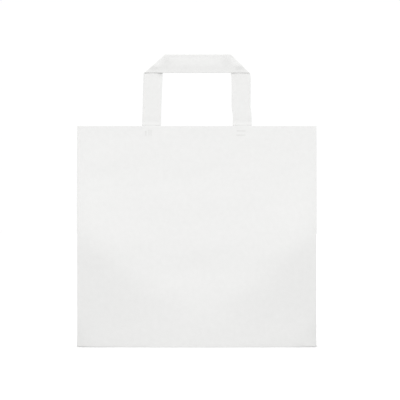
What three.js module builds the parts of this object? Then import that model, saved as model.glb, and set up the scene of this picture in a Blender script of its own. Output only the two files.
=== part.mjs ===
// Non-woven shopping bag, standing open: one folded and welded sheet with side gussets, and two flat
// strap handles that lean together over the mouth. Millimetres, +Z up, +X across the width; the front
// panel faces -Y, and the origin is on the ground under the middle of the base.

import * as THREE from 'three';

// The sheet and its folds
const bagWidth = 380; // across the front panel
const baseDepth = 100; // front to back at the corners of the base, and so across each side gusset
const mouthHeight = 351; // from the ground to the edge of the mouth
const sheetThickness = 0.6;
const hemDepth = 40; // the band at the mouth that is folded down inside
const seamAllowance = 8; // the welded margins that stand inside along the middle of each side gusset

// How the open bag stands
const gussetFold = 57; // degrees that each half gusset is turned in at the mouth; none at the base
const gussetPleat = 5; // width of the gusset beside its middle fold, where the two creases run together
const creaseSideHeight = 178; // the soft crease on each panel starts here at the side edges
const creaseMiddleHeight = 60; // and its two halves meet here, at the middle of the panel
const creaseSlope = 0.1; // how far the panel's middle stands out, for each millimetre down from there
const creaseSoftness = 26; // height over which the crease turns
const creaseRounding = 70; // width over which its two halves run into each other

// The handles
const strapWidth = 29.4;
const strapThickness = 1.2;
const legSpacing = 138.4; // between the middles of the two legs, at the corner folds
const legSplay = 3; // how much further out each leg stands at the mouth
const handleRise = 112.8; // from the edge of the mouth to the upper edge of the bar
const footDepth = 35; // the end of each leg that is welded inside the hem
const legBend = 50; // the stretch above the mouth over which a leg turns towards the other handle
const layerGap = 0.4; // between the leg and the bar, where the strap is folded over itself
const seatGap = 0.3; // between a foot and the hem
const handleGap = 1; // between the two handles, where they come together

// How finely the curved stretches are divided
const panelColumns = 20;
const gussetColumns = 2; // in each half gusset, between the side edge and the pleat
const cornerLevels = 3; // from the ground to where the corner creases meet
const wallLevels = 10; // from there to the hem
const hemLevels = 2;
const footRows = 3;
const bendRows = 6;
const foldRows = 6;

const halfWidth = bagWidth / 2;
const halfBase = baseDepth / 2;
const mouthTurn = THREE.MathUtils.degToRad(gussetFold);
// The creases that rise from the two corners of the base meet on the gusset's middle fold at this height.
const creaseMeeting = halfBase;
const roundedWidth = Math.hypot(halfWidth, creaseRounding) - creaseRounding;
const hemBottom = mouthHeight - hemDepth;
const hemThickness = 2 * sheetThickness;
const barBottomRise = handleRise - strapWidth;

const plan = (x, y) => new THREE.Vector2(x, y);
const space = (x, y, z) => new THREE.Vector3(x, y, z);
const mix = (a, b, share) => a.clone().lerp(b, share);

function evenly(from, to, steps) {
  return Array.from({ length: steps + 1 }, (_, i) => THREE.MathUtils.lerp(from, to, i / steps));
}

// A closed surface that is put together from rings of corners.
class Surface {
  constructor() {
    this.corners = [];
    this.faces = [];
  }

  ring(points) {
    const first = this.corners.length;
    this.corners.push(...points);
    return points.map((_, i) => first + i);
  }

  // Faces between two rings, facing outwards where the rings run anticlockwise as seen from the second.
  // Where corners of the second ring share one corner of the first, they close on it as a fan does.
  band(first, second, share = (i) => i) {
    second.forEach((corner, i) => {
      const next = (i + 1) % second.length;
      const a = first[share(i)];
      const b = first[share(next)];
      this.faces.push(a, second[next], corner);
      if (a !== b) this.faces.push(a, b, second[next]);
    });
  }

  geometry() {
    const geometry = new THREE.BufferGeometry().setFromPoints(this.corners);
    geometry.setIndex(this.faces);
    geometry.computeVertexNormals();
    return geometry;
  }
}

// A ramp that is flat below zero, rises one for one above it and turns softly between the two.
function softRamp(rise) {
  return (rise + Math.hypot(rise, creaseSoftness)) / 2;
}

// The side edges stand straight up to the crease and lean in evenly above it, and half a gusset keeps its
// width: how far its side edge is from the middle plane, and its middle fold from the side of the bag.
function gussetAt(z) {
  const ramp = (height) => softRamp(height - creaseSideHeight);
  const share = (ramp(z) - ramp(0)) / (ramp(mouthHeight) - ramp(0));
  const edge = halfBase * THREE.MathUtils.lerp(1, Math.cos(mouthTurn), share);
  return { edge, inset: Math.sqrt(halfBase ** 2 - edge ** 2) };
}

// How far a panel is from the middle plane of the bag.
function panelAt(x, z) {
  const across = (Math.hypot(x, creaseRounding) - creaseRounding) / roundedWidth;
  const creaseHeight = THREE.MathUtils.lerp(creaseMiddleHeight, creaseSideHeight, across);
  const standsOut = softRamp(creaseSideHeight - z) - softRamp(creaseHeight - z);
  return gussetAt(z).edge + creaseSlope * standsOut;
}

// The side edge, the crease and the middle fold of the right gusset's front half, seen from above. The
// crease runs from the corner of the base to the middle fold, and from there up beside it.
function gussetLines(z) {
  const upper = gussetAt(Math.max(z, creaseMeeting));
  const rise = Math.min(z / creaseMeeting, 1);
  const pleat = gussetPleat / halfBase;
  const fold = plan(halfWidth - upper.inset, 0);
  const besideFold = mix(fold, plan(halfWidth, -upper.edge), pleat);
  const foldFoot = plan(halfWidth, 0);
  const creaseFoot = mix(plan(halfWidth, -halfBase), foldFoot, pleat);
  return {
    edge: plan(halfWidth, -gussetAt(z).edge),
    crease: mix(creaseFoot, besideFold, rise),
    fold: mix(foldFoot, fold, rise),
  };
}

const turned = (half) => [...half, ...half.map((p) => plan(-p.x, -p.y))];

// The outline of the bag at a height: the front panel from left to right, the right gusset from front to
// rear, and the same again, turned half round.
function outline(z) {
  const front = evenly(-halfWidth, halfWidth, panelColumns).map((x) => plan(x, -panelAt(x, z)));
  const { edge, crease, fold } = gussetLines(z);
  const frontSide = evenly(0, 1, gussetColumns).slice(1).map((share) => mix(edge, crease, share));
  const rearSide = frontSide.map((p) => plan(p.x, -p.y)).reverse();
  return turned([...front, ...frontSide, fold, ...rearSide]);
}

const foldIndex = panelColumns + 1 + gussetColumns; // where the right middle fold is in an outline
const halfCount = foldIndex + 1 + gussetColumns; // how many corners each half of an outline has

// The outline moved in by the thickness of a wall.
function movedIn(ring, wall) {
  return ring.map((p, i) => {
    const from = p.clone().sub(ring.at(i - 1)).normalize();
    const to = ring[(i + 1) % ring.length].clone().sub(p).normalize();
    const reach = wall / (1 + from.dot(to));
    return plan(p.x - (from.y + to.y) * reach, p.y + (from.x + to.x) * reach);
  });
}

// The inside of a wall at a height. The welded margins of the seam stand in from each middle fold, so
// four corners take the fold's place.
function inside(z, wall) {
  const ring = movedIn(outline(z), wall);
  const beside = ring[foldIndex - 1];
  const fold = ring[foldIndex];
  const root = mix(beside, fold, (beside.y + wall) / beside.y);
  const tip = plan(fold.x - seamAllowance, root.y);
  const margins = [root, tip, plan(tip.x, -tip.y), plan(root.x, -root.y)];
  return turned([...ring.slice(0, foldIndex), ...margins, ...ring.slice(foldIndex + 1, halfCount)]);
}

const addedCorners = 3; // how many corners more each half has on the inside

// The outline's corner that a corner on the inside belongs to.
function outlineCorner(i) {
  const half = Math.floor(i / (halfCount + addedCorners));
  const place = i % (halfCount + addedCorners);
  const own = place <= foldIndex ? place : Math.max(foldIndex, place - addedCorners);
  return half * halfCount + own;
}

// A flat floor inside a ring: strips from the front panel to the rear one, and a fan at each gusset,
// which changes over from the front to the rear at the ring's middle corner.
function addFloor(surface, ring, middle, facesUp) {
  const half = ring.length / 2;
  const add = (a, b, c) => surface.faces.push(...(facesUp ? [a, b, c] : [a, c, b]));
  const across = (i) => ring[half + panelColumns - i];
  for (let i = 1; i < panelColumns - 1; i++) {
    add(ring[i], ring[i + 1], across(i + 1));
    add(ring[i], across(i + 1), across(i));
  }
  for (const start of [0, half]) {
    const at = (i) => ring[(start + i) % ring.length];
    const near = at(panelColumns - 1);
    const far = at(half + 1);
    for (let i = panelColumns; i < half; i++) add(i < middle ? near : far, at(i), at(i + 1));
    add(near, at(middle), far);
  }
}

// The heights from the floor of the bag to its hem, with one where the corner creases meet.
function wallHeights(lowest) {
  const corner = evenly(lowest, creaseMeeting, cornerLevels);
  return [...corner, ...evenly(creaseMeeting, hemBottom, wallLevels).slice(1)];
}

function bagBody() {
  const bag = new Surface();
  const atHeight = (points, z) => bag.ring(points.map((p) => space(p.x, p.y, z)));
  const hemHeights = evenly(hemBottom, mouthHeight - sheetThickness, hemLevels);
  const outer = [...wallHeights(0), ...hemHeights.slice(1)].map((z) => atHeight(outline(z), z));
  const rim = atHeight(inside(mouthHeight, sheetThickness), mouthHeight);
  const inner = [
    ...wallHeights(sheetThickness).map((z) => atHeight(inside(z, sheetThickness), z)),
    ...hemHeights.map((z) => atHeight(inside(z, hemThickness), z)),
    rim,
  ];
  for (let i = 1; i < outer.length; i++) bag.band(outer[i - 1], outer[i]);
  for (let i = 1; i < inner.length; i++) bag.band(inner[i], inner[i - 1]);
  bag.band(outer.at(-1), rim, outlineCorner);
  addFloor(bag, outer[0], foldIndex, false);
  addFloor(bag, inner[0], foldIndex + 1, true);
  return bag.geometry();
}

// The middle of the front strap seen from the side: up behind the hem, round the bend, and straight on
// to the upper edge of the bar.
function strapLine() {
  const behindPanel = hemThickness + seatGap + strapThickness / 2;
  const beside = legSpacing / 2 + legSplay;
  const foot = evenly(mouthHeight - footDepth, mouthHeight, footRows);
  const points = foot.map((z) => space(0, behindPanel - panelAt(beside, z), z));
  const mouth = points.at(-1);
  const upwards = mouth.clone().sub(points.at(-2)).normalize();
  const turn = mouth.clone().addScaledVector(upwards, legBend / 2);
  const top = space(0, -(handleGap + strapThickness) / 2, mouthHeight + handleRise);
  const onwards = top.clone().sub(turn).normalize();
  const bendEnd = turn.clone().addScaledVector(onwards, legBend / 2);
  const line = new THREE.CurvePath();
  for (let i = 1; i < points.length; i++) line.add(new THREE.LineCurve3(points[i - 1], points[i]));
  line.add(new THREE.QuadraticBezierCurve3(mouth, turn, bendEnd));
  line.add(new THREE.LineCurve3(bendEnd, top));
  return line;
}

// The strap laid flat: x across the bag, y along the strap's middle line, z towards its outer face. A row
// lies across the strap, from its outer or lower edge to its inner or upper one, and has the direction
// that the strap's first face looks in.
const row = (outer, inner, facing) => ({ outer, inner, facing });

function legRows(side, lengths, barBottom) {
  const mouth = lengths[footRows - 1];
  const along = [
    0,
    ...lengths.slice(0, footRows),
    ...evenly(mouth, lengths[footRows], bendRows).slice(1),
    barBottom - 2 * strapThickness,
  ];
  return along.map((y) => {
    const middle = legSpacing / 2 + (legSplay * (barBottom - y)) / (barBottom - mouth);
    const edge = (out) => space(side * (middle + out), y, 0);
    return row(edge(strapWidth / 2), edge(-strapWidth / 2), space(0, 0, 1));
  });
}

// The half turn of the strap round its corner fold, from behind, where the leg is, to the bar in front.
function foldedRows(side, barBottom, slant) {
  const radius = (strapThickness + layerGap) / 2;
  const corner = legSpacing / 2 + strapWidth / 2;
  const lower = space(side * corner, barBottom, 0);
  const upper = space(side * (corner - strapWidth - slant), barBottom + strapWidth, 0);
  const fold = upper.clone().sub(lower).normalize();
  const outwards = space(side * fold.y, side * -fold.x, 0);
  const reach = radius + strapThickness / 2;
  const onLeg = space(0, -reach / outwards.y, 0);
  const onBar = space(-reach / outwards.x, 0, 0);
  return evenly(0, 1, foldRows).map((share) => {
    const turn = Math.PI * share;
    const shift = mix(onLeg, onBar, share).addScaledVector(outwards, radius * Math.sin(turn));
    shift.z = radius * (1 - Math.cos(turn));
    const facing = outwards.clone().multiplyScalar(-Math.sin(turn)).setZ(Math.cos(turn));
    return row(lower.clone().add(shift), upper.clone().add(shift), facing);
  });
}

function handle() {
  const line = strapLine();
  const lengths = line.getCurveLengths();
  const whole = lengths.at(-1);
  const barBottom = whole - strapWidth;
  const slant = (legSplay * strapWidth) / barBottomRise;
  const upTo = (side) => [...legRows(side, lengths, barBottom), ...foldedRows(side, barBottom, slant)];
  const rows = [...upTo(-1), ...upTo(1).reverse()];
  const inPlace = (p) => {
    const share = THREE.MathUtils.clamp(p.y / whole, 0, 1);
    const along = line.getTangent(share);
    return line.getPoint(share).add(space(p.x, -along.z * p.z, along.y * p.z));
  };
  const strap = new Surface();
  const rings = rows.map(({ outer, inner, facing }) => {
    const half = facing.clone().multiplyScalar(strapThickness / 2);
    const front = [outer.clone().add(half), inner.clone().add(half)];
    const back = [inner.clone().sub(half), outer.clone().sub(half)];
    return strap.ring([...front, ...back].map(inPlace));
  });
  for (let i = 1; i < rings.length; i++) strap.band(rings[i - 1], rings[i]);
  const [a, b, c, d] = rings[0];
  const [e, f, g, h] = rings.at(-1);
  strap.faces.push(a, c, b, a, d, c, e, f, g, e, g, h);
  return strap.geometry();
}

function piece(name, geometry) {
  const material = new THREE.MeshStandardMaterial({ color: 0xf0f0ee, roughness: 0.9, metalness: 0 });
  const mesh = new THREE.Mesh(geometry, material);
  mesh.name = name;
  return mesh;
}

const group = new THREE.Group();
const rearHandle = piece('rear_handle', handle());
rearHandle.rotation.z = Math.PI;
group.add(piece('bag_body', bagBody()), piece('front_handle', handle()), rearHandle);

export default group;
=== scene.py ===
"""A white non-woven shopping bag, standing open, with two flat strap handles that lean together."""

import math

import bmesh
import bpy
import numpy as np
from bpy.props import FloatProperty, FloatVectorProperty, IntProperty, PointerProperty
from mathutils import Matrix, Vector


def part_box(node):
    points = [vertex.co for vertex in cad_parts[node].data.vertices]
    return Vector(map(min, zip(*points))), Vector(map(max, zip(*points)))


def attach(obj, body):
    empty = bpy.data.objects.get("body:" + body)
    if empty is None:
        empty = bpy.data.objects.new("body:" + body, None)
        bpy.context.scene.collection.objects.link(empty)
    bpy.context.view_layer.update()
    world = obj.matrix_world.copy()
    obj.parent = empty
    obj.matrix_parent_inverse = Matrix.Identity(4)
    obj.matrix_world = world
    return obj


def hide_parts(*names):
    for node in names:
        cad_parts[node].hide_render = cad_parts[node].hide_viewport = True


bl_info = {
    "name": "Non-woven Shopping Bag",
    "version": (1, 0, 0),
    "blender": (4, 5, 0),
    "location": "3D View > Sidebar > Bag",
    "description": "Builds an open shopping bag of white non-woven sheet, with folded strap handles",
    "category": "Add Mesh",
}

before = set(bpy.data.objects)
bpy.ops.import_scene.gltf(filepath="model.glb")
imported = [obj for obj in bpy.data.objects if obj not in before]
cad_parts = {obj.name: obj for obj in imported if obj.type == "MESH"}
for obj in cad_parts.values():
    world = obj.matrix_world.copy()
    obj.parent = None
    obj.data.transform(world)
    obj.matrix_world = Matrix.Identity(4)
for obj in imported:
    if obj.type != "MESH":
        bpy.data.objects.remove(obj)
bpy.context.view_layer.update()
body_low, body_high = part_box("bag_body")
handle_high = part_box("front_handle")[1]

FLAT_MAP = "flat_sheet"
IMAGE_PIXELS = 400
MM = 0.001

# How much higher the soft rim stands than the solid's, and how much more the bar rises above the rim.
RIM_RISE, BAR_RISE = 0.5 * MM, 0.2 * MM

# The lines of weld marks that the front handle's feet leave on the panel, each by its two ends, in
# millimetres across the bag and up: two double dashes at the right foot, a bar and a patch at the left.
FOOT_DASHES = [((63.8, up), (76.4, up)) for up in (343.9, 342.7, 337.1, 335.9)]
FOOT_BAR = [((across, 336.6), (across, 342.4)) for across in (-82, -81.1, -80.2)]
FOOT_PATCH = [((-76.4, up), (-72, up)) for up in (336.6, 338.2, 339.8, 341.4, 343, 344.6)]

# Soft bumps of the straps: place across the bag and below the bar's upper edge, reach across and down,
# height, and whether they are in the bar in front or in a leg behind it.
STRAP_BUMPS = (
    (-48 * MM, 2 * MM, 9 * MM, 12 * MM, 1.5 * MM, "bar"),
    (47 * MM, 2 * MM, 8 * MM, 11 * MM, 1.5 * MM, "bar"),
    (-68 * MM, 19 * MM, 6 * MM, 4 * MM, 0.8 * MM, "bar"),
    (68 * MM, 19 * MM, 5 * MM, 4 * MM, 1.2 * MM, "bar"),
    (-57 * MM, 36 * MM, 5 * MM, 8 * MM, -0.5 * MM, "leg"),
)


def length(name, description, default):
    """A length in metres that a user can change."""
    return FloatProperty(
        name=name, description=description, default=default, precision=5, unit="LENGTH"
    )


def factor(name, description, default):
    """A share or a ratio that a user can change."""
    return FloatProperty(name=name, description=description, default=default, subtype="FACTOR")


def angle(name, description, degrees):
    """An angle that a user can change."""
    return FloatProperty(
        name=name, description=description, default=math.radians(degrees), subtype="ANGLE"
    )


def colour(name, description, default):
    """A colour that a user can change."""
    return FloatVectorProperty(
        name=name, description=description, default=default, size=3, subtype="COLOR", min=0, max=1
    )


class BagSizes(bpy.types.PropertyGroup):
    """The sheet of the bag, its folds, and how it stands."""

    width: length("Width", "Across the front panel", body_high.x - body_low.x)
    mouth_height: length("Mouth height", "From the ground to the rim", body_high.z + RIM_RISE)
    base_depth: length("Base depth", "Front to back at the corners of the base", 100 * MM)
    sheet_thickness: length("Sheet thickness", "Thickness of the non-woven sheet", 0.6 * MM)
    hem_depth: length("Hem depth", "The band at the mouth that is folded down inside", 40 * MM)
    hem_gap: length("Hem gap", "Between the panel and the hem behind it", 0.1 * MM)
    rim_press: length("Rim press", "The stretch at the mouth's edge that is pressed thin", 5 * MM)
    seam_allowance: length("Seam allowance", "The welded margin inside each side gusset", 8 * MM)
    gusset_fold: angle("Gusset fold", "How far each half gusset is turned in at the mouth", 57)
    gusset_pleat: length("Gusset pleat", "Width of the gusset beside its middle fold", 5 * MM)
    crease_side_height: length("Crease at the sides", "Where the soft crease starts", 178 * MM)
    crease_middle_height: length("Crease in the middle", "Where its two halves meet", 60 * MM)
    crease_slope: factor("Crease slope", "How far the panel stands out for each metre below it", 0.1)
    crease_softness: length("Crease softness", "Height over which the crease turns", 26 * MM)
    crease_rounding: length("Crease rounding", "Width over which its halves join", 70 * MM)
    fold_radius: length("Fold radius", "Of a folded edge at the mouth, at the sheet's middle", 0.45 * MM)
    loose_fold_radius: length("Loose fold radius", "Of a folded edge down at the base", 2 * MM)
    base_fold_radius: length("Base fold radius", "Of the fold between panel and base", 0.35 * MM)
    corner_fold_radius: length("Corner fold radius", "Of that fold towards the corners", 1.7 * MM)
    corner_reach: length("Corner reach", "How far the looser fold goes in from a corner", 62 * MM)


class SoftForms(bpy.types.PropertyGroup):
    """How the limp sheet departs from straight folds."""

    crease_bulge: length("Crease bulge", "How far the panel swells along the soft crease", 2.2 * MM)
    foot_spread: length("Foot spread", "How far the panel's foot spreads in the middle", 2.2 * MM)
    foot_flare: length("Foot flare", "How far the last stretch above the base flares out", 2 * MM)
    flare_height: length("Flare height", "Height of that stretch", 95 * MM)
    corner_dent: length("Corner dent", "How far the panel falls in at its lower corners", 2.2 * MM)
    hem_stiffness: length("Hem stiffness", "How much straighter the doubled hem stands", 0.35 * MM)
    panel_ripple: length("Panel ripple", "Height of the faint waves on the panels", 0.12 * MM)
    gusset_bow: length("Gusset bow", "How far the gussets bow", 1.4 * MM)
    gusset_ripple: length("Gusset ripple", "Height of the waves on the gussets", 0.5 * MM)
    ripple_seed: IntProperty(name="Ripple seed", description="Changes the waves", default=7)


class StrapSizes(bpy.types.PropertyGroup):
    """The two handles: flat straps of folded sheet."""

    width: length("Strap width", "Across the finished strap", 29.7 * MM)
    thickness: length("Strap thickness", "Of the three layers together", 0.9 * MM)
    leg_spacing: length("Leg spacing", "Between the middles of the legs", 138.4 * MM)
    leg_splay: length("Leg splay", "How much further out each leg is at the mouth", 3 * MM)
    rise: length("Rise", "Of the bar above the mouth", handle_high.z - body_high.z + BAR_RISE)
    foot_depth: length("Foot depth", "The end of each leg inside the hem", 35 * MM)
    leg_bend: length("Leg bend", "The stretch above the mouth over which a leg turns", 16 * MM)
    layer_gap: length("Layer gap", "Between the leg and the bar, where the strap is folded", 0.06 * MM)
    seat_gap: length("Seat gap", "Between a foot and the hem", 0.3 * MM)
    handle_gap: length("Handle gap", "Between the two handles, where they meet", 1 * MM)
    rear_spread: factor("Rear spread", "Width of the rear handle beside the front one's", 1.005)
    rear_lift: length("Rear lift", "How much higher the rear handle is seated", 0.25 * MM)
    bar_slip: length("Bar slip", "How far the bar's upper edge has slipped to the right", 1.9 * MM)
    edge_press: length("Edge press", "The stretch beside a folded edge that is pressed thin", 14 * MM)
    edge_share: factor("Edge share", "Thickness left at a folded edge", 0.3)
    fold_press: length("Fold press", "The stretch beside a corner fold that is pressed thin", 8 * MM)
    pressed_share: factor("Pressed share", "Thickness left at a corner fold", 0.8)
    bumps: factor("Bumps", "Height of the soft bumps beside those in the table", 1)


class WeldSizes(bpy.types.PropertyGroup):
    """The small weld dots along the hem and the seams, and under the handles' feet."""

    pitch: length("Pitch", "From dot to dot along a seam", 4 * MM)
    dot_width: length("Dot width", "Across one dot", 1.3 * MM)
    dot_height: length("Dot height", "How far a dot stands up", 0.08 * MM)
    mark_pitch: length("Mark pitch", "From dot to dot in the marks at the feet", 1.5 * MM)
    mark_width: length("Mark width", "Across one dot of a mark", 1.25 * MM)
    seam_line: length("Seam line", "From the tip of a seam margin to its dots", 3 * MM)
    hem_line: length("Hem line", "From the lower edge of the hem to its dots", 4 * MM)


class SheetFinish(bpy.types.PropertyGroup):
    """The look of the spunbond sheet."""

    sheet_colour: colour("Sheet colour", "Colour of the sheet", (0.588, 0.588, 0.583))
    # Painted shade: the straps are the same white sheet, but their colour is set darker than the sheet's
    # so that the leaning straps, which catch more of the top light, look no brighter than the panels.
    strap_shaded_colour: colour("Strap colour", "Colour of the folded straps", (0.552, 0.552, 0.547))
    weld_colour: colour("Weld colour", "Colour where the sheet is melted", (0.50, 0.50, 0.49))
    dot_pitch: length("Dot pitch", "Between the pressed bonding dots along a row", 1.7 * MM)
    dot_radius: length("Dot radius", "Of one pressed bonding dot", 0.36 * MM)
    dot_depth: length("Dot depth", "How deep the dots are pressed", 0.09 * MM)
    dot_shade: factor("Dot shade", "How much darker a dot is", 0.035)
    cloud_contrast: factor("Cloud contrast", "How much thick and thin places differ", 0.06)
    fibre_contrast: factor("Fibre contrast", "How much single fibres differ", 0.04)


class StageSettings(bpy.types.PropertyGroup):
    """The floor, the light and the camera."""

    camera_distance: length("Camera distance", "From the camera to the front panel", 9.0)
    panel_depth: length("Panel depth", "From the bag's middle to the front panel", 40 * MM)
    camera_height: length("Camera height", "Of the level line of sight", 0.2336)
    camera_side: length("Camera side", "How far right of the bag's middle it stands", 0.0051)
    pixel_size: length("Pixel size", "Of the bag in one pixel of the photograph", 1.586 * MM)
    floor_size: length("Floor size", "Width and length of the floor", 60.0)
    floor_colour: colour("Floor colour", "Colour of the floor", (0.66, 0.66, 0.66))
    sky_light: FloatProperty(name="Sky light", description="Even light from all round", default=1.01)
    top_light: FloatProperty(name="Top light", description="Soft light from above", default=3.5)
    top_light_angle: angle("Top light height", "Above the horizon, from the front", 80)
    top_light_width: angle("Top light width", "How wide the soft light is", 40)


def smooth_step(value, low, high):
    """0 below low, 1 above high, and a smooth rise between."""
    share = np.clip((value - low) / (high - low), 0, 1)
    return share * share * (3 - 2 * share)


def bump(distance, reach):
    """A soft round hill, 1 in its middle."""
    return np.exp(-((distance / reach) ** 2))


class BagForm:
    """The outline of the bag's sheet at any height, seen from above."""

    # The part of the height over which the side folds tighten, the thickness left at the pressed rim, and
    # the gap between its two layers.
    loose_share, rim_share, rim_gap = 0.7, 0.5, 0.04 * MM

    def __init__(self, sizes, panel_columns=96, gusset_columns=13, fold_steps=6):
        self.sizes = sizes
        self.panel_columns = panel_columns
        self.gusset_columns = gusset_columns
        self.fold_steps = fold_steps
        self.half_width = sizes.width / 2
        self.half_base = sizes.base_depth / 2
        self.crease_meeting = self.half_base
        self.rounded_width = (
            math.hypot(self.half_width, sizes.crease_rounding) - sizes.crease_rounding
        )

    def soft_ramp(self, rise):
        """Flat below zero, rising one for one above it, with a soft turn between."""
        return (rise + np.hypot(rise, self.sizes.crease_softness)) / 2

    def gusset(self, z):
        """How far a side edge is from the bag's middle plane, and the middle fold from the side."""
        s = self.sizes
        start, now, top = (self.soft_ramp(h - s.crease_side_height) for h in (0, z, s.mouth_height))
        edge = self.half_base * (1 - (1 - math.cos(s.gusset_fold)) * (now - start) / (top - start))
        return edge, math.sqrt(max(self.half_base**2 - edge**2, 0))

    def crease_height(self, x):
        """How high the soft crease is on a panel."""
        s = self.sizes
        across = (np.hypot(x, s.crease_rounding) - s.crease_rounding) / self.rounded_width
        return s.crease_middle_height + (s.crease_side_height - s.crease_middle_height) * across

    def panel(self, x, z):
        """How far a panel is from the bag's middle plane."""
        s = self.sizes
        high = self.soft_ramp(s.crease_side_height - z)
        return self.gusset(z)[0] + s.crease_slope * (high - self.soft_ramp(self.crease_height(x) - z))

    def gusset_lines(self, z):
        """The side edge, the crease and the middle fold of the right gusset's front half."""
        edge, inset = self.gusset(max(z, self.crease_meeting))
        rise = min(z / self.crease_meeting, 1)
        pleat = self.sizes.gusset_pleat / self.half_base
        side = np.array([self.half_width, -edge])
        fold = np.array([self.half_width - inset, 0.0])
        fold_foot = np.array([self.half_width, 0.0])
        corner = np.array([self.half_width, -self.half_base])
        beside = fold + (side - fold) * pleat
        crease_foot = corner + (fold_foot - corner) * pleat
        now = np.array([self.half_width, -self.gusset(z)[0]])
        return (
            now,
            crease_foot + (beside - crease_foot) * rise,
            fold_foot + (fold - fold_foot) * rise,
        )

    def outline(self, z):
        """Corners of the outline, anticlockwise from the front's left edge, and their flat places."""
        x = np.linspace(-self.half_width, self.half_width, self.panel_columns + 1)
        front = np.stack([x, -self.panel(x, z)], 1)
        edge, crease, fold = self.gusset_lines(z)
        share = np.linspace(0, 1, self.gusset_columns + 1)[1:, None]
        side = edge + (crease - edge) * share
        mirrored = side[::-1] * [1, -1]
        half = np.concatenate([front, side, fold[None], mirrored])
        pleat = self.sizes.gusset_pleat
        rise = min(z / self.crease_meeting, 1)
        along_side = self.half_width + (pleat + (self.half_base - 2 * pleat) * rise) * share[:, 0]
        fold_place = self.half_width + self.half_base
        flat = np.concatenate([x, along_side, [fold_place], 2 * fold_place - along_side[::-1]])
        return np.concatenate([half, -half]), np.concatenate([flat, flat + 2 * fold_place])

    @staticmethod
    def moved_in(ring, wall):
        """The ring moved in by a wall's thickness."""
        before = ring - np.roll(ring, 1, 0)
        after = np.roll(ring, -1, 0) - ring
        before /= np.linalg.norm(before, axis=1)[:, None]
        after /= np.linalg.norm(after, axis=1)[:, None]
        reach = wall / (1 + (before * after).sum(1))
        both = before + after
        return ring + np.stack([-both[:, 1], both[:, 0]], 1) * reach[:, None]

    def ring(self, z, inset, share=1):
        """The sheet's middle line at a height, with rounded folds, and each point's flat place."""
        points, places = self.rounded(z, inset)
        half = share * self.sizes.sheet_thickness / 2
        outermost = self.rounded(z, half)[0] if inset > half else points
        return points * [(self.half_width - half) / outermost[:, 0].max(), 1], places

    def rounded(self, z, inset):
        """The outline moved in, with its folds rounded, and each point's flat place."""
        corners, flat = self.outline(z)
        corners = self.moved_in(corners, inset)
        half = len(corners) // 2
        fold = self.panel_columns + 1 + self.gusset_columns
        folds = {0, self.panel_columns, fold, half, half + self.panel_columns, half + fold}
        s = self.sizes
        loose = 1 - smooth_step(z, 0, self.loose_share * s.mouth_height)
        radius = s.fold_radius + (s.loose_fold_radius - s.fold_radius) * loose
        points, places = [], []
        for i, point in enumerate(corners):
            if i in folds:
                after = corners[(i + 1) % len(corners)]
                arc, along = self.rounded_fold(corners[i - 1], point, after, radius)
                points.extend(arc)
                places.extend(flat[i] + along)
            else:
                points.append(point)
                places.append(flat[i])
        return np.array(points), np.array(places)

    def rounded_fold(self, before, corner, after, radius):
        """Points on the arc that rounds one folded edge, and how far each is from its middle."""
        a = (before - corner) / np.linalg.norm(before - corner)
        b = (after - corner) / np.linalg.norm(after - corner)
        half_open = math.acos(np.clip(a @ b, -1, 1)) / 2
        trim = max(radius / math.tan(half_open), radius)
        t = np.linspace(0, 1, self.fold_steps + 1)[:, None]
        weights = np.concatenate([(1 - t) ** 2, 2 * t * (1 - t) * math.sin(half_open), t**2], 1)
        weights /= weights.sum(1)[:, None]
        curve = weights @ np.array([corner + a * trim, corner, corner + b * trim])
        return curve, (t[:, 0] * 2 - 1) * trim


def add_object(name, points, faces, places, material):
    """A new mesh object from its points, faces and flat places, one place for each face's corner."""
    mesh = bpy.data.meshes.new(name)
    mesh.from_pydata([tuple(p) for p in points], [], [tuple(f) for f in faces])
    layer = mesh.uv_layers.new(name=FLAT_MAP)
    layer.data.foreach_set("uv", np.asarray(places, np.float32).ravel())
    mesh.materials.append(material)
    mesh.validate(clean_customdata=False)
    mesh.shade_smooth()
    piece = bpy.data.objects.new(name, mesh)
    bpy.context.scene.collection.objects.link(piece)
    return piece


def quads(ids, flat):
    """Faces and flat places between the rows and columns of a grid of point numbers."""
    faces = np.stack([ids[:-1, :-1], ids[:-1, 1:], ids[1:, 1:], ids[1:, :-1]], -1).reshape(-1, 4)
    places = np.stack([flat[:-1, :-1], flat[:-1, 1:], flat[1:, 1:], flat[1:, :-1]], -2)
    return faces, places.reshape(-1, 2)


def apply_modifiers(piece):
    """Turns a piece and its modifiers into a plain mesh."""
    bpy.context.view_layer.update()
    evaluated = piece.evaluated_get(bpy.context.evaluated_depsgraph_get())
    mesh = bpy.data.meshes.new_from_object(evaluated)
    piece.modifiers.clear()
    old = piece.data
    piece.data = mesh
    mesh.name = old.name
    bpy.data.meshes.remove(old)


def sharpen(piece, limit):
    """Marks the edges that turn by more than an angle as sharp."""
    work = bmesh.new()
    work.from_mesh(piece.data)
    for edge in work.edges:
        edge.smooth = len(edge.link_faces) == 2 and edge.calc_face_angle(0) < limit
    work.to_mesh(piece.data)
    work.free()


def feed(tree, socket, value):
    """Links a socket to another, or sets its value."""
    if isinstance(value, bpy.types.NodeSocket):
        tree.links.new(value, socket)
    else:
        socket.default_value = value


def add_node(tree, kind, inputs=None, **settings):
    """Adds a node to a tree. Its inputs are values, or the sockets that feed them."""
    node = tree.nodes.new(kind)
    for key, value in settings.items():
        setattr(node, key, value)
    for key, value in (inputs or {}).items():
        feed(tree, node.inputs[key], value)
    return node


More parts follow.
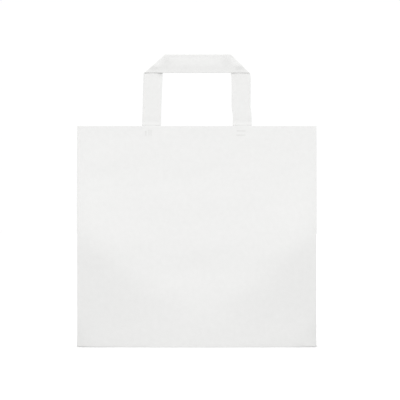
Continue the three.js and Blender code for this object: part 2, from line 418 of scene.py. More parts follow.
class NodeSheet:
    """A small helper that places and links the nodes of one material."""

    def __init__(self, name):
        self.material = bpy.data.materials.new(name)
        self.material.use_nodes = True
        self.tree = self.material.node_tree
        self.shader = self.tree.nodes["Principled BSDF"]

    def node(self, kind, inputs=None, **settings):
        """Adds a node to this material."""
        return add_node(self.tree, kind, inputs, **settings)

    def set(self, name, value):
        """Sets or links one input of the shader."""
        feed(self.tree, self.shader.inputs[name], value)

    def math(self, operation, a, b=0.0, c=0.0):
        """One sum on numbers."""
        return self.node("ShaderNodeMath", {0: a, 1: b, 2: c}, operation=operation).outputs[0]

    def vector(self, operation, a, b=(0, 0, 0)):
        """One sum on vectors."""
        node = self.node("ShaderNodeVectorMath", {0: a, 1: b}, operation=operation)
        return node.outputs["Value" if operation == "LENGTH" else "Vector"]

    def ramp(self, value, low, high, to_low=0.0, to_high=1.0):
        """A smooth step from one value to another."""
        inputs = {"Value": value, "From Min": low, "From Max": high, "To Min": to_low, "To Max": to_high}
        return self.node("ShaderNodeMapRange", inputs, interpolation_type="SMOOTHSTEP").outputs[0]

    def noise(self, place, scale, detail=2.0, roughness=0.5):
        """Cloudy noise, from 0 to 1."""
        inputs = {"Vector": place, "Scale": scale, "Detail": detail, "Roughness": roughness}
        return self.node("ShaderNodeTexNoise", inputs).outputs["Fac"]

    def tinted(self, base, share):
        """A colour, made lighter or darker by a share that changes from place to place."""
        inputs = {"Vector": tuple(base), "Scale": share}
        return self.node("ShaderNodeVectorMath", inputs, operation="SCALE").outputs["Vector"]


def bonding_dots(sheet, place, finish):
    """The staggered rows of small dots where the fibres are pressed together: 1 in a dot, 0 beside."""
    pitch = finish.dot_pitch
    spacing = (1 / pitch, 1 / pitch, 0)

    def row(shift):
        moved = sheet.vector("ADD", sheet.vector("MULTIPLY", place, spacing), shift)
        cell = sheet.vector("SUBTRACT", sheet.vector("FRACTION", moved), (0.5, 0.5, 0))
        return sheet.vector("LENGTH", cell)

    nearest = sheet.math("MINIMUM", row((0, 0, 0)), row((0.5, 0.5, 0)))
    edge = finish.dot_radius / pitch
    return sheet.ramp(nearest, edge * 0.7, edge * 1.35, 1.0, 0.0)


def spunbond_material(name, finish, base):
    """White spunbond sheet: cloudy fibres, and fine dots pressed into them."""
    sheet = NodeSheet(name)
    place = sheet.node("ShaderNodeUVMap", uv_map=FLAT_MAP).outputs["UV"]
    dots = bonding_dots(sheet, place, finish)
    fibres = sheet.noise(place, scale=1400.0, detail=3.0, roughness=0.6)
    clouds = sheet.noise(place, scale=130.0, detail=3.0, roughness=0.55)
    cloudy, fibrous = finish.cloud_contrast, finish.fibre_contrast
    density = sheet.math("MULTIPLY_ADD", clouds, cloudy, 1 - cloudy / 2)
    density = sheet.math("MULTIPLY_ADD", fibres, fibrous, sheet.math("SUBTRACT", density, fibrous / 2))
    density = sheet.math("MULTIPLY", density, sheet.ramp(dots, 0.0, 1.0, 1.0, 1 - finish.dot_shade))
    sheet.set("Base Color", sheet.tinted(base, density))
    sheet.set("Roughness", sheet.ramp(dots, 0.0, 1.0, 0.88, 0.55))
    height = sheet.math("MULTIPLY_ADD", fibres, 0.35, sheet.math("MULTIPLY", dots, -1.0))
    relief = {"Strength": 0.6, "Distance": finish.dot_depth, "Height": height}
    sheet.set("Normal", sheet.node("ShaderNodeBump", relief).outputs["Normal"])
    sheet.set("Specular IOR Level", 0.25)
    sheet.set("Sheen Weight", 0.08)
    sheet.set("Sheen Roughness", 0.6)
    return sheet.material


class BAG_OT_shell(bpy.types.Operator):
    """Builds the bag itself: one sheet, folded round the base, the gussets and the mouth"""

    bl_idname = "bag.shell"
    bl_label = "Bag Body"

    def execute(self, context):
        sizes, finish = context.scene.bag_sizes, context.scene.sheet_finish
        form = BagForm(sizes)
        points, faces, places, shares = sheet_of_bag(form, SoftSheet(form, context.scene.soft_forms))
        material = spunbond_material("bag_sheet", finish, finish.sheet_colour)
        piece = add_object("bag_shell", points, faces, places, material)
        keeps = piece.vertex_groups.new(name="thickness")
        for share in np.unique(shares):
            keeps.add(np.flatnonzero(shares == share).tolist(), float(share), "REPLACE")
        wall = piece.modifiers.new("sheet", "SOLIDIFY")
        wall.vertex_group = keeps.name
        wall.thickness_vertex_group = 0
        wall.thickness = sizes.sheet_thickness
        wall.offset = 0
        wall.use_quality_normals = True
        apply_modifiers(piece)
        sharpen(piece, math.radians(60))
        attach(piece, "root")
        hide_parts("bag_body")
        return {"FINISHED"}


class BAG_OT_seams(bpy.types.Operator):
    """Builds the welded margins of the two side seams, which stand inside the gussets' middle folds"""

    bl_idname = "bag.seams"
    bl_label = "Seam Margins"

    def execute(self, context):
        sizes = context.scene.bag_sizes
        points, faces, places = seam_margins(BagForm(sizes))
        material = bpy.data.materials["bag_sheet"]
        piece = add_object("seam_margins", points, faces, places, material)
        sharpen(piece, math.radians(50))
        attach(piece, "root")
        return {"FINISHED"}


def margin_tip(form, z):
    """How far the tip of the right seam margin is from the bag's middle."""
    return form.gusset_lines(z)[2][0] - form.sizes.seam_allowance - form.sizes.sheet_thickness


def seam_margins(form, rows=90):
    """Both seam margins as closed strips: points, faces and flat places."""
    half = form.sizes.sheet_thickness
    turns = np.linspace(-math.pi / 2, math.pi / 2, 7)
    lowest, highest = 3.5 * MM, form.sizes.mouth_height - 1.2 * MM
    root_gap = 0.3 * MM
    points, faces, places = [], [], []
    for side in (1, -1):
        first = len(points)
        heights = np.linspace(lowest, highest, rows)
        for z in heights:
            tip, root = margin_tip(form, z), form.gusset_lines(z)[2][0] - root_gap
            rounded_tip = [(tip + half * (1 - math.cos(t)), half * math.sin(t)) for t in turns]
            section = [(root, -half), *rounded_tip, (root, half)]
            points.extend((side * x, side * y, z) for x, y in section)
        count = len(section)
        ids = first + np.arange(rows * count).reshape(rows, count)
        ids = np.concatenate([ids, ids[:, :1]], 1)[:, ::-1]
        across = np.linspace(0, 2 * form.sizes.seam_allowance, count + 1)
        placed = np.stack(np.broadcast_arrays(across[None] + side, heights[:, None]), -1)
        strip, strip_places = quads(ids, placed)
        faces.extend(strip.tolist())
        faces.extend([ids[0, :-1][::-1].tolist(), ids[-1, :-1].tolist()])
        places.extend([strip_places, placed[0, :-1], placed[-1, :-1]])
    return np.array(points), faces, np.concatenate(places)


class BAG_OT_welds(bpy.types.Operator):
    """Sets the small weld dots along the hem and the seams, and the marks under the handles' feet"""

    bl_idname = "bag.welds"
    bl_label = "Welds"

    def execute(self, context):
        scene = context.scene
        form = BagForm(scene.bag_sizes)
        soft_sheet = SoftSheet(form, scene.soft_forms)
        welds, finish = scene.weld_sizes, scene.sheet_finish
        lines = [*hem_welds(form, soft_sheet, welds), *seam_welds(form, welds)]
        marks = foot_marks(form, soft_sheet)
        height = welds.dot_height
        seams = weld_piece("seam_welds", lines, welds.pitch, welds.dot_width, height, finish)
        feet = weld_piece("foot_welds", marks, welds.mark_pitch, welds.mark_width, height, finish)
        for piece in (seams, feet):
            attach(piece, "root")
        return {"FINISHED"}


def hem_welds(form, soft_sheet, welds):
    """The line of dots round the inside of the hem, near its lower edge: points and directions."""
    s = form.sizes
    z = s.mouth_height - s.hem_depth + welds.hem_line
    ring, flat = form.ring(z, 2 * s.sheet_thickness + s.hem_gap + form.rim_gap)
    points = soft_sheet.move(np.column_stack([ring, np.full(len(ring), z)]), flat, z)
    ahead = np.roll(points, -1, 0) - np.roll(points, 1, 0)
    facing = np.column_stack([-ahead[:, 1], ahead[:, 0], 0 * flat])
    return [(points, facing)]


def seam_welds(form, welds, count=80):
    """The lines of dots on both faces of each seam margin."""
    thick = form.sizes.sheet_thickness
    lowest, highest = 6 * MM, form.sizes.mouth_height - 4 * MM
    heights = np.linspace(lowest, highest, count)
    lines = []
    for side in (1, -1):
        for face in (1, -1):
            x = [side * (margin_tip(form, z) + welds.seam_line) for z in heights]
            points = np.column_stack([x, np.full(count, face * thick), heights])
            lines.append((points, np.tile([0.0, face, 0], (count, 1))))
    return lines


def foot_marks(form, soft_sheet):
    """The marks that welding the feet leaves on the outside of both panels."""
    front = [*FOOT_DASHES, *FOOT_BAR, *FOOT_PATCH]
    rear = [*FOOT_DASHES, *([(-x, z) for x, z in line] for line in FOOT_DASHES)]
    lines = []
    for half_turn, marks in ((1, front), (-1, rear)):
        for start, end in np.array(marks) * MM:
            x, z = np.linspace(start, end, 12).T
            place = soft_sheet.outer_face(x, z)
            ahead = soft_sheet.outer_face(x, z + MM) - place
            facing = np.column_stack([0 * x, -ahead[:, 2], ahead[:, 1]])
            turn = [half_turn, half_turn, 1]
            lines.append((place * turn, facing * turn))
    return lines


def weld_piece(name, lines, pitch, width, height, finish):
    """A mesh of small lens-shaped dots, spaced along lines by Geometry Nodes."""
    points = np.concatenate([line[0] for line in lines])
    facing = np.concatenate([line[1] for line in lines])
    starts = np.cumsum([0] + [len(line[0]) for line in lines])
    edges = [(i, i + 1) for a, b in zip(starts[:-1], starts[1:]) for i in range(a, b - 1)]
    mesh = bpy.data.meshes.new(name)
    mesh.from_pydata(points.tolist(), edges, [])
    facing /= np.linalg.norm(facing, axis=1)[:, None]
    mesh.attributes.new("facing", "FLOAT_VECTOR", "POINT").data.foreach_set("vector", facing.ravel())
    piece = bpy.data.objects.new(name, mesh)
    bpy.context.scene.collection.objects.link(piece)
    dots = piece.modifiers.new("dots", "NODES")
    dots.node_group = dot_tree()
    values = {"Pitch": pitch, "Width": width, "Height": height, "Material": weld_material(finish)}
    for item in dots.node_group.interface.items_tree:
        if item.name in values and item.in_out == "INPUT":
            dots[item.identifier] = values[item.name]
    apply_modifiers(piece)
    return piece


def dot_tree():
    """The node tree that places one dot at every pitch along each line of its mesh."""
    if "weld_dots" in bpy.data.node_groups:
        return bpy.data.node_groups["weld_dots"]
    tree = bpy.data.node_groups.new("weld_dots", "GeometryNodeTree")
    tree.interface.new_socket("Geometry", in_out="INPUT", socket_type="NodeSocketGeometry")
    for name in ("Pitch", "Width", "Height"):
        socket = tree.interface.new_socket(name, in_out="INPUT", socket_type="NodeSocketFloat")
        socket.subtype = "DISTANCE"
    tree.interface.new_socket("Material", in_out="INPUT", socket_type="NodeSocketMaterial")
    tree.interface.new_socket("Geometry", in_out="OUTPUT", socket_type="NodeSocketGeometry")

    def node(kind, inputs, output=0, **settings):
        made = add_node(tree, kind, inputs, **settings)
        return made.outputs[output]

    given = add_node(tree, "NodeGroupInput").outputs
    curve = node("GeometryNodeMeshToCurve", {"Mesh": given["Geometry"]})
    spacing = {"Curve": curve, "Length": given["Pitch"]}
    points = node("GeometryNodeResampleCurve", spacing, mode="LENGTH")
    attribute = "GeometryNodeInputNamedAttribute"
    facing = node(attribute, {"Name": "facing"}, "Attribute", data_type="FLOAT_VECTOR")
    axes = {"Primary Axis": facing, "Secondary Axis": node("GeometryNodeInputTangent", {}, "Tangent")}
    turn = node("FunctionNodeAxesToRotation", axes, primary_axis="Z", secondary_axis="X")
    lens = node("GeometryNodeMeshUVSphere", {"Segments": 8, "Rings": 4, "Radius": 0.5}, "Mesh")
    height = node("ShaderNodeMath", {0: given["Height"], 1: 2.0}, operation="MULTIPLY")
    size = node("ShaderNodeCombineXYZ", {"X": given["Width"], "Y": given["Width"], "Z": height})
    flat = node("GeometryNodeTransform", {"Geometry": lens, "Scale": size})
    placing = {"Points": points, "Instance": flat, "Rotation": turn}
    placed = node("GeometryNodeInstanceOnPoints", placing)
    real = node("GeometryNodeRealizeInstances", {"Geometry": placed})
    coating = {"Geometry": real, "Material": given["Material"]}
    coated = node("GeometryNodeSetMaterial", coating)
    add_node(tree, "NodeGroupOutput", {"Geometry": coated})
    return tree


def weld_material(finish):
    """Sheet that is melted to a film: a little darker and smoother."""
    if "weld_film" in bpy.data.materials:
        return bpy.data.materials["weld_film"]
    sheet = NodeSheet("weld_film")
    cloud = sheet.noise(sheet.node("ShaderNodeTexCoord").outputs["Object"], scale=900.0)
    density = sheet.math("MULTIPLY_ADD", cloud, 0.2, 0.9)
    sheet.set("Base Color", sheet.tinted(finish.weld_colour, density))
    sheet.set("Roughness", 0.6)
    sheet.set("Specular IOR Level", 0.25)
    return sheet.material


def sheet_rows(form, bend):
    """The rows of the sheet from the base, up the wall, over the mouth and down the hem: height, inset,
    flat place and the share of its thickness that each keeps."""
    s = form.sizes
    full, thin = s.sheet_thickness, form.rim_share
    rows = []
    for turn in np.linspace(math.pi / 2, 0, 7):
        inset = full / 2 + bend * (1 - math.cos(turn))
        rows.append((full / 2 + bend * (1 - math.sin(turn)), inset, -bend * turn, 1))
    lap = thin * full / 2 + form.rim_gap / 2
    rim = s.mouth_height - thin * full / 2 - lap
    start, close_rows, pressed = full / 2 + bend, 8 * MM, rim - s.rim_press
    for z in [
        *np.linspace(start, close_rows, 8)[1:],
        *np.linspace(close_rows, form.crease_meeting, 13)[1:],
        *np.linspace(form.crease_meeting, pressed, 73)[1:],
        *np.linspace(pressed, rim, 6)[1:],
    ]:
        share = 1 - (1 - thin) * smooth_step(z, pressed, rim)
        rows.append((z, share * full / 2, z - start, share))
    for turn in np.linspace(0, math.pi, 9)[1:]:
        inset = thin * full / 2 + lap * (1 - math.cos(turn))
        rows.append((rim + lap * math.sin(turn), inset, rim - start + lap * turn, thin))
    end = s.mouth_height - s.hem_depth
    for z in [*np.linspace(rim, pressed, 6)[1:], *np.linspace(pressed, end, 11)[1:]]:
        share = 1 - (1 - thin) * smooth_step(z, pressed, rim)
        gap = s.hem_gap * (1 - smooth_step(z, pressed, rim)) + form.rim_gap
        rows.append((z, 1.5 * share * full + gap, rim - start + lap * math.pi + rim - z, share))
    return rows


class SoftSheet:
    """Moves the points of the bag's sheet off its straight folds."""

    # The panel's swell: the height over which it fades above the crease, where it begins and is full
    # beside a side edge, and how far it reaches round that edge.
    bulge_fade, edge_still, edge_full, edge_carry = 130 * MM, 2 * MM, 26 * MM, 9 * MM
    # The dent at a lower corner: how far it reaches across and up, and how high its deepest place is.
    dent_width, dent_height, dent_middle = 15 * MM, 24 * MM, 6 * MM
    # The panel's waves: the height over which they begin, and the share of the short ones.
    ripple_rise, short_share = 30 * MM, 0.4
    # The gusset: the height over which base and hem hold it, how much the hem does, and its lean inwards.
    gusset_hold, mouth_hold, gusset_lean = 40 * MM, 0.7, 1.3

    def __init__(self, form, soft):
        self.form = form
        self.soft = soft
        self.around = 4 * (form.half_width + form.half_base)
        make = np.random.default_rng(soft.ripple_seed)
        self.long_waves = self.waves(make, count=16, shortest=45 * MM, longest=110 * MM)
        self.short_waves = self.waves(make, count=22, shortest=16 * MM, longest=40 * MM)

    def waves(self, make, count, shortest, longest):
        """Directions, lengths and starts of waves that close round the bag."""
        wave_length = make.uniform(shortest, longest, count)
        heading = make.uniform(0, math.pi, count)
        whole = 2 * math.pi / self.around
        across = np.round(2 * math.pi / wave_length * np.cos(heading) / whole) * whole
        upwards = 2 * math.pi / wave_length * np.sin(heading)
        return across, upwards, make.uniform(0, 2 * math.pi, count)

    def ripple(self, flat, z, waves):
        """The sum of waves at each flat place, about 1 high."""
        across, upwards, start = waves
        height = np.cos(flat[:, None] * across + z[:, None] * upwards + start).sum(1)
        return height / math.sqrt(2 * len(start)) * 1.4

    def on_panel(self, x, flat, z):
        """How far a panel stands out."""
        form, soft = self.form, self.soft
        crease = form.crease_height(x)
        rise = np.minimum(z / crease, 1)
        rise = rise - smooth_step(z, crease, crease + self.bulge_fade) * (z > crease)
        full, still = form.half_width - self.edge_full, form.half_width - self.edge_still
        inside = 1 - smooth_step(np.abs(x), full, still)
        low, high = form.sizes.crease_middle_height, form.sizes.crease_side_height
        to_side = (crease - low) / (high - low)
        bulge = soft.crease_bulge * rise * to_side * inside
        foot = soft.foot_spread * (1 - to_side) * np.maximum(1 - z / (2 * low), 0)
        foot = foot + soft.foot_flare * inside * np.maximum(1 - z / soft.flare_height, 0) ** 2
        side = form.half_width - np.abs(x)
        dent = -soft.corner_dent * bump(side, self.dent_width)
        dent = dent * bump(z - self.dent_middle, self.dent_height)
        hem = form.sizes.mouth_height - form.sizes.hem_depth
        stiff = soft.hem_stiffness * np.maximum(z - hem, 0) / form.sizes.hem_depth
        long, short = (self.ripple(flat, z, waves) for waves in (self.long_waves, self.short_waves))
        ripple = soft.panel_ripple * (long + self.short_share * short)
        return bulge + foot + dent + stiff + ripple * inside * smooth_step(z, 0, self.ripple_rise)

    def on_gusset(self, beside, flat, z):
        """How far a gusset bows, by the distance from its side edge."""
        soft, width = self.soft, self.form.half_base
        across = np.sin(math.pi * np.clip(beside / width, 0, 1))
        top = self.form.sizes.mouth_height
        held = smooth_step(z, 0, self.gusset_hold)
        held = held * (1 - self.mouth_hold * smooth_step(z, top - self.gusset_hold, top))
        long, short = (self.ripple(flat, z, waves) for waves in (self.long_waves, self.short_waves))
        bow = soft.gusset_bow * (long - self.gusset_lean) + soft.gusset_ripple * short
        return across * held * bow

    def outer_face(self, x, z):
        """Points on the outer face of the front panel."""
        out = []
        for across, up in zip(x, z):
            place = np.array([across])
            out.append(self.form.panel(across, up) + self.on_panel(place, place, np.array([up]))[0])
        return np.column_stack([x, -np.array(out), z])

    def move(self, points, flat, row_height):
        """One row of the sheet, moved."""
        form = self.form
        half_way = 2 * (form.half_width + form.half_base)
        place = (flat + form.half_width) % self.around
        turned = place >= half_way
        place = place % half_way
        z = np.full(len(flat), row_height)
        on_side = place > 2 * form.half_width
        x = np.clip(place - form.half_width, -form.half_width, form.half_width)
        in_side = np.clip(place - 2 * form.half_width, 0, 2 * form.half_base)
        beside = np.minimum(in_side, 2 * form.half_base - in_side)
        carried = bump(beside, self.edge_carry)
        panel = self.on_panel(x, flat, z) * np.where(on_side, carried, 1)
        side = np.where(on_side, self.on_gusset(beside, flat, z), 0)
        edge, inset = form.gusset(row_height)
        front_half = np.where(in_side < form.half_base, 1, -1)
        moved = np.stack([edge * side, inset * side * front_half, 0 * z], 1) / form.half_base
        moved[:, 1] -= panel * np.where(on_side, front_half, 1)
        return points + moved * np.where(turned, -1, 1)[:, None]


def floor_grid(ring, corner_places):
    """A grid of points that fills a ring between its four corners, with rows along the panels."""
    a, b, c, d = corner_places
    front = ring[a : b + 1]
    right = ring[b : c + 1]
    rear = ring[c : d + 1][::-1]
    left = np.concatenate([ring[d:], ring[: a + 1]])[::-1]
    u = np.linspace(0, 1, len(front))[:, None, None]
    v = np.linspace(0, 1, len(right))[None, :, None]
    across = left[None] * (1 - u) + right[None] * u
    along = front[:, None] * (1 - v) + rear[:, None] * v
    corners = (front[0] * (1 - u) + front[-1] * u) * (1 - v) + (rear[0] * (1 - u) + rear[-1] * u) * v
    return across + along - corners


def wall_rings(form, soft_sheet, bend):
    """The rings of points for all rows of the sheet, and the flat places round and up the bag."""
    rows = sheet_rows(form, bend)
    rings, flats = [], []
    for z, inset, _, share in rows:
        ring, flat = form.ring(z, inset, share)
        rings.append(soft_sheet.move(np.column_stack([ring, np.full(len(ring), z)]), flat, z))
        flats.append(flat)
    along, shares = (np.array([row[k] for row in rows]) for k in (2, 3))
    return np.array(rings), np.array(flats), along, shares


def sheet_of_bag(form, soft_sheet):
    """The middle surface of the bag's sheet: points, faces, flat places and shares of thickness."""
    s = form.sizes
    tight, flats, along, shares = wall_rings(form, soft_sheet, s.base_fold_radius)
    loose = wall_rings(form, soft_sheet, s.corner_fold_radius)[0]
    half_way = 2 * (form.half_width + form.half_base)
    to_side = form.half_width - np.abs((flats + form.half_width) % half_way - form.half_width)
    near_corner = (1 - smooth_step(to_side, 0, s.corner_reach))[:, :, None]
    rings = tight * (1 - near_corner) + loose * near_corner
    count = flats.shape[1]
    ids = np.arange(len(rings) * count).reshape(len(rings), count)
    ids = np.concatenate([ids, ids[:, :1]], 1)
    across = np.concatenate([flats, flats[:, :1] + soft_sheet.around], 1)
    placed = np.stack(np.broadcast_arrays(across, along[:, None]), -1)
    faces, places = quads(ids, placed)
    points = rings.reshape(-1, 3)
    half = count // 2
    steps = form.fold_steps
    right_corner = form.panel_columns + steps + steps // 2
    corner_places = [steps // 2, right_corner, half + steps // 2, half + right_corner]
    base, base_faces, base_places = base_of_bag(rings[0], corner_places, len(points), form)
    return (
        np.concatenate([points, base]),
        np.concatenate([faces, base_faces]),
        np.concatenate([places, base_places]),
        np.concatenate([np.repeat(shares, count), np.ones(len(base))]),
    )


def base_of_bag(ring, corner_places, first, form):
    """The flat base inside the lowest ring, as one grid."""
    grid = floor_grid(ring, corner_places)
    a, b, c, d = corner_places
    number = np.arange(len(ring))
    ids = np.full(grid.shape[:2], -1)
    ids[:, 0] = number[a : b + 1]
    ids[-1, :] = number[b : c + 1]
    ids[:, -1] = number[c : d + 1][::-1]
    ids[0, :] = np.concatenate([number[d:], number[: a + 1]])[::-1]
    inner = ids < 0
    ids[inner] = first + np.arange(inner.sum())
    placed = grid[:, :, :2] + [0, -form.half_base]
    faces, places = quads(ids.T, np.transpose(placed, (1, 0, 2)) * [1, -1])
    return grid[inner], faces[:, ::-1], places.reshape(-1, 4, 2)[:, ::-1].reshape(-1, 2)


class StrapForm:
    """The line that a strap follows, seen from the side, and the strap laid flat."""

    # The right leg doesn't lean out evenly. It steps out twice, at these shares of its length below the
    # bar, and this part of its splay is in the upper step.
    upper_step, lower_step, upper_share = (0, 0.1), (0.6, 0.84), 0.35
    # Towards the end of a foot the strap is pressed thin: over this length, to this share.
    end_press, end_share = 7 * MM, 0.6
    # Where a leg comes over the rim it bulges forward: how far, and how far up and down.
    rim_bulge, rim_reach = 0.8 * MM, 4 * MM
    # The top layer's edge: its place across the strap, and its height beside the strap's thickness.
    free_edge, free_step = 0.78, 0.13

    def __init__(self, sizes, form):
        self.sizes = sizes
        bag = form.sizes
        behind = 2 * bag.sheet_thickness + sizes.seat_gap + sizes.thickness / 2
        beside = sizes.leg_spacing / 2 + sizes.leg_splay
        mouth = bag.mouth_height
        heights = np.linspace(mouth - sizes.foot_depth, mouth, 12)
        foot = np.array([[behind - float(form.panel(beside, z)), z] for z in heights])
        upwards = foot[-1] - foot[-2]
        turn = foot[-1] + upwards / np.linalg.norm(upwards) * sizes.leg_bend / 2
        top = np.array([-(sizes.handle_gap + sizes.thickness) / 2, mouth + sizes.rise])
        onwards = (top - turn) / np.linalg.norm(top - turn)
        bent = turn + onwards * sizes.leg_bend / 2
        t = np.linspace(0, 1, 40)[1:, None]
        bend = foot[-1] * (1 - t) ** 2 + 2 * turn * t * (1 - t) + bent * t**2
        self.line = np.concatenate([foot, bend, [top]])
        steps = np.linalg.norm(np.diff(self.line, axis=0), axis=1)
        self.along = np.concatenate([[0], np.cumsum(steps)])
        self.whole = self.along[-1]
        self.mouth = self.along[len(foot) - 1]
        self.bar_bottom = self.whole - sizes.width

    def on_line(self, lengths):
        """Points on the line at lengths from the foot's end: front to back, and up."""
        return np.stack([np.interp(lengths, self.along, self.line[:, k]) for k in (0, 1)], 1)

    def in_place(self, flat, near=0.5 * MM):
        """Points of the flat strap, moved onto its line."""
        at = np.clip(flat[:, 1], 0, self.whole)
        tangent = self.on_line(at + near) - self.on_line(at - near)
        tangent /= np.linalg.norm(tangent, axis=1)[:, None]
        place = self.on_line(at) + (flat[:, 1] - at)[:, None] * tangent
        y = place[:, 0] - tangent[:, 1] * flat[:, 2]
        z = place[:, 1] + tangent[:, 0] * flat[:, 2]
        return np.stack([flat[:, 0], y, z], 1)

    def leg_rows(self, side):
        """Rows across one leg, from its foot to where the bar crosses it."""
        s = self.sizes
        top = self.bar_bottom - 2 * s.thickness
        lengths = np.concatenate(
            [np.linspace(0, self.mouth, 12)[:-1], np.linspace(self.mouth, top, 50)]
        )
        rows = []
        for y in lengths:
            out = (self.bar_bottom - y) / (self.bar_bottom - self.mouth)
            if side > 0:
                upper = smooth_step(out, *self.upper_step)
                lower = smooth_step(out, *self.lower_step)
                out = self.upper_share * upper + (1 - self.upper_share) * lower
            middle = s.leg_spacing / 2 + s.leg_splay * out
            outer = np.array([side * (middle + s.width / 2), y, 0])
            inner = np.array([side * (middle - s.width / 2), y, 0])
            rows.append((outer, inner, np.array([0.0, 0, 1])))
        return rows

    def fold_line(self, side):
        """The lower and upper ends of one corner fold, on the flat strap."""
        s = self.sizes
        slant = s.leg_splay * s.width / (s.rise - s.width)
        corner = s.leg_spacing / 2 + s.width / 2
        lower = np.array([side * corner, self.bar_bottom, 0])
        across = side * (corner - s.width - slant) + s.bar_slip
        return lower, np.array([across, self.bar_bottom + s.width, 0])

    def pressed(self, points):
        """The share of its thickness that the flat strap keeps beside its corner folds."""
        s = self.sizes
        share = 1
        for side in (-1, 1):
            lower, upper = self.fold_line(side)
            fold = (upper - lower) / np.linalg.norm(upper - lower)
            beside = np.abs(np.cross(points - lower, fold)[:, 2]) - s.thickness
            full = smooth_step(beside, 0, s.fold_press)
            share = share * (s.pressed_share + (1 - s.pressed_share) * full)
        return share

    def fold_rows(self, side, steps=14):
        """Rows round the corner fold, from the leg behind to the bar in front."""
        s = self.sizes
        thickness = s.thickness * s.pressed_share
        radius = (thickness + s.layer_gap) / 2
        lower, upper = self.fold_line(side)
        fold = (upper - lower) / np.linalg.norm(upper - lower)
        out = np.array([side * fold[1], side * -fold[0], 0])
        reach = radius + thickness / 2
        on_leg = np.array([0, -reach / out[1], 0])
        on_bar = np.array([-reach / out[0], 0, 0])
        rows = []
        for share in np.linspace(0, 1, steps):
            turn = math.pi * share
            shift = on_leg * (1 - share) + on_bar * share + out * radius * math.sin(turn)
            shift[2] = radius * (1 - math.cos(turn))
            facing = -out * math.sin(turn)
            facing[2] = math.cos(turn)
            rows.append((lower + shift, upper + shift, facing))
        return rows

    @staticmethod
    def rows_between(start, end, count):
        """Evenly spaced rows between two rows."""
        rows = []
        for share in np.linspace(0, 1, count + 2)[1:-1]:
            rows.append(tuple(a * (1 - share) + b * share for a, b in zip(start, end)))
        return rows

    def rows(self):
        """All rows of the strap from its left foot to its right one."""
        halves = []
        for side in (-1, 1):
            leg, fold = self.leg_rows(side), self.fold_rows(side)
            halves.append([*leg, *self.rows_between(leg[-1], fold[0], 12), *fold])
        left, right = halves[0], halves[1][::-1]
        return [*left, *self.rows_between(left[-1], right[0], 60), *right]


def strap_section(sizes, across=22, round_steps=6, raised_steps=6):
    """The strap's section, three layers pressed flat: place across it and height on its face."""
    width = sizes.width
    edge = sizes.thickness * sizes.edge_share / 2
    free_edge, step = width * StrapForm.free_edge, sizes.thickness * StrapForm.free_step

    def half(place):
        beside = min(place, width - place)
        return edge + (sizes.thickness / 2 - edge) * smooth_step(beside, 0, sizes.edge_press)

    points = [(place, half(place)) for place in np.linspace(edge, width - edge, across)]
    turns = np.linspace(0, math.pi, round_steps + 2)[1:-1]
    points.extend((width - edge + edge * math.sin(turn), edge * math.cos(turn)) for turn in turns)
    for place in np.linspace(width - edge, free_edge, raised_steps):
        raised = 1 - smooth_step(place, free_edge, width - edge)
        points.append((place, -half(place) + step * raised))
    rest = np.linspace(free_edge - step / 2, edge, across - raised_steps)
    points.extend((place, -half(place)) for place in rest)
    points.extend((edge - edge * math.sin(turn), -edge * math.cos(turn)) for turn in turns)
    return np.array(points)


def strap_bumps(strap, points, in_bar):
    """How far points of the flat strap stand out. The bar's share is 1 in the bar and 0 in a leg."""
    below = strap.whole - points[:, 1]
    s = strap.sizes
    # Where the bar's lower edge is pressed thin, it sinks towards the legs behind it.
    lower_edge = 1 - smooth_step(points[:, 1] - strap.bar_bottom, 0, s.edge_press)
    sink = (1 - s.edge_share) / 3 * lower_edge
    height = in_bar * s.thickness * (strap.pressed(points) - s.pressed_share - sink)
    over_rim = bump(points[:, 1] - strap.mouth, strap.rim_reach)
    height = height + (1 - in_bar) * strap.rim_bulge * over_rim
    for across, down, reach_across, reach_down, rise, part in STRAP_BUMPS:
        share = in_bar if part == "bar" else 1 - in_bar
        # A bump dies away more slowly towards the bar's upper edge than below its middle.
        reach = np.where(below > down, reach_down, 3 * reach_down)
        near = bump(points[:, 0] - across, reach_across) * bump(below - down, reach)
        height = height + s.bumps * rise * near * share
    return height


def strap_mesh(strap):
    """Points, faces and flat places of one strap."""
    s = strap.sizes
    section = strap_section(s)
    rings, lengths, along, last = [], [], 0.0, None
    for outer, inner, facing in strap.rows():
        span = np.linalg.norm(inner - outer)
        across = (inner - outer) / span
        place = section[:, 0] * span / s.width
        middle_line = outer + across * place[:, None]
        full = smooth_step(outer[1], 0, strap.end_press)
        end = strap.end_share + (1 - strap.end_share) * full
        pressed = strap.pressed(middle_line) * end
        ring = middle_line + facing * (section[:, 1] * pressed)[:, None]
        ring[:, 2] += strap_bumps(strap, ring, (1 - facing[2]) / 2)
        middle = (outer + inner) / 2
        along += 0 if last is None else np.linalg.norm(middle - last)
        last = middle
        rings.append(strap.in_place(ring))
        lengths.append(along)
    count = len(section)
    ids = np.arange(len(rings) * count).reshape(len(rings), count)
    ids = np.concatenate([ids, ids[:, :1]], 1)
    around = np.linalg.norm(section - np.roll(section, 1, 0), axis=1)
    around = np.concatenate([np.cumsum(around) - around[0], [around.sum()]])
    placed = np.stack(np.broadcast_arrays(around[None], np.array(lengths)[:, None]), -1)
    faces, places = quads(ids, placed)
    faces = [list(f) for f in faces]
    ends = [list(ids[0, :-1][::-1]), list(ids[-1, :-1])]
    places = np.concatenate([places, section[::-1], section])
    return np.concatenate(rings), faces + ends, places, lengths[-1]


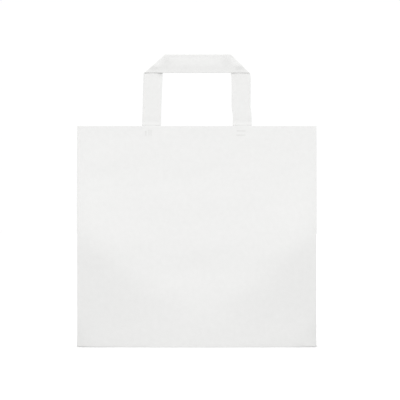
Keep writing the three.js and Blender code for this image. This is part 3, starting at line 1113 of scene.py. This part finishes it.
class BAG_OT_handles(bpy.types.Operator):
    """Builds the two handles, each one strap that is folded over at its corners"""

    bl_idname = "bag.handles"
    bl_label = "Handles"

    def execute(self, context):
        sizes, finish = context.scene.strap_sizes, context.scene.sheet_finish
        strap = StrapForm(sizes, BagForm(context.scene.bag_sizes))
        # The straps take the sheet's finish with a darker colour: painted shade that offsets the extra
        # top light on the leaning straps.
        material = spunbond_material("handle_strap", finish, finish.strap_shaded_colour)
        points, faces, places, whole = strap_mesh(strap)
        ends = np.cumsum([len(face) for face in faces])[:-1]
        turned_faces = [face[::-1] for face in faces]
        turned_places = np.concatenate([corners[::-1] for corners in np.split(places, ends)])
        front = (faces, places, [1, 1, 1], 0)
        rear = (turned_faces, turned_places, [sizes.rear_spread, -1, 1], sizes.rear_lift)
        for name, node, (sides, corners, towards, lift) in (
            ("front_strap", "front_handle", front),
            ("rear_strap", "rear_handle", rear),
        ):
            piece = add_object(name, points * towards + [0, 0, lift], sides, corners, material)
            sharpen(piece, math.radians(50))
            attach(piece, "root")
            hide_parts(node)
        return {"FINISHED"}


class BAG_OT_stage(bpy.types.Operator):
    """Sets the pale floor, the soft light and the camera"""

    bl_idname = "bag.stage"
    bl_label = "Stage"

    def execute(self, context):
        settings = context.scene.stage_settings
        context.scene.view_settings.view_transform = "Standard"
        self.add_floor(settings)
        self.add_light(settings)
        self.add_camera(context, settings)
        return {"FINISHED"}

    def add_floor(self, settings):
        """A plain pale floor."""
        half = settings.floor_size / 2
        corners = [(-half, -half, 0), (half, -half, 0), (half, half, 0), (-half, half, 0)]
        mesh = bpy.data.meshes.new("floor")
        mesh.from_pydata(corners, [], [(0, 1, 2, 3)])
        sheet = NodeSheet("floor")
        sheet.set("Base Color", (*settings.floor_colour, 1))
        sheet.set("Roughness", 1.0)
        sheet.set("Specular IOR Level", 0.0)
        mesh.materials.append(sheet.material)
        floor = bpy.data.objects.new("floor", mesh)
        bpy.context.scene.collection.objects.link(floor)

    def add_light(self, settings):
        """Even white light from all round, and a soft light from above."""
        world = bpy.data.worlds.new("studio")
        world.use_nodes = True
        sky = world.node_tree.nodes["Background"].inputs
        sky["Color"].default_value = (1, 1, 1, 1)
        sky["Strength"].default_value = settings.sky_light
        bpy.context.scene.world = world
        lamp = bpy.data.lights.new("top_light", "SUN")
        lamp.energy = settings.top_light
        lamp.angle = settings.top_light_width
        light = bpy.data.objects.new("top_light", lamp)
        light.rotation_euler = (math.pi / 2 - settings.top_light_angle, 0, 0)
        bpy.context.scene.collection.objects.link(light)

    def add_camera(self, context, settings):
        """A long lens that looks straight at the front panel."""
        camera = bpy.data.objects.new("camera", bpy.data.cameras.new("camera"))
        shown = settings.pixel_size * IMAGE_PIXELS
        camera.data.lens = camera.data.sensor_width * settings.camera_distance / shown
        camera.data.clip_end = 4 * settings.floor_size
        behind = settings.panel_depth + settings.camera_distance
        camera.location = (settings.camera_side, -behind, settings.camera_height)
        camera.rotation_euler = (math.pi / 2, 0, 0)
        context.scene.collection.objects.link(camera)
        context.scene.camera = camera


class BAG_PT_pieces(bpy.types.Panel):
    """Lists the steps that build the bag"""

    bl_label = "Non-woven Shopping Bag"
    bl_idname = "BAG_PT_pieces"
    bl_space_type = "VIEW_3D"
    bl_region_type = "UI"
    bl_category = "Bag"

    def draw(self, context):
        for step in STEPS:
            self.layout.operator(step.bl_idname)


SETTINGS = {
    "bag_sizes": BagSizes,
    "soft_forms": SoftForms,
    "strap_sizes": StrapSizes,
    "weld_sizes": WeldSizes,
    "sheet_finish": SheetFinish,
    "stage_settings": StageSettings,
}
STEPS = (BAG_OT_stage, BAG_OT_shell, BAG_OT_seams, BAG_OT_handles, BAG_OT_welds)


def register():
    for name, group in SETTINGS.items():
        bpy.utils.register_class(group)
        setattr(bpy.types.Scene, name, PointerProperty(type=group))
    for step in STEPS:
        bpy.utils.register_class(step)
    bpy.utils.register_class(BAG_PT_pieces)


def unregister():
    bpy.utils.unregister_class(BAG_PT_pieces)
    for step in reversed(STEPS):
        bpy.utils.unregister_class(step)
    for name, group in SETTINGS.items():
        delattr(bpy.types.Scene, name)
        bpy.utils.unregister_class(group)


def main():
    register()
    bpy.ops.bag.stage()
    bpy.ops.bag.shell()
    bpy.ops.bag.seams()
    bpy.ops.bag.handles()
    bpy.ops.bag.welds()


if __name__ == "__main__":
    main()
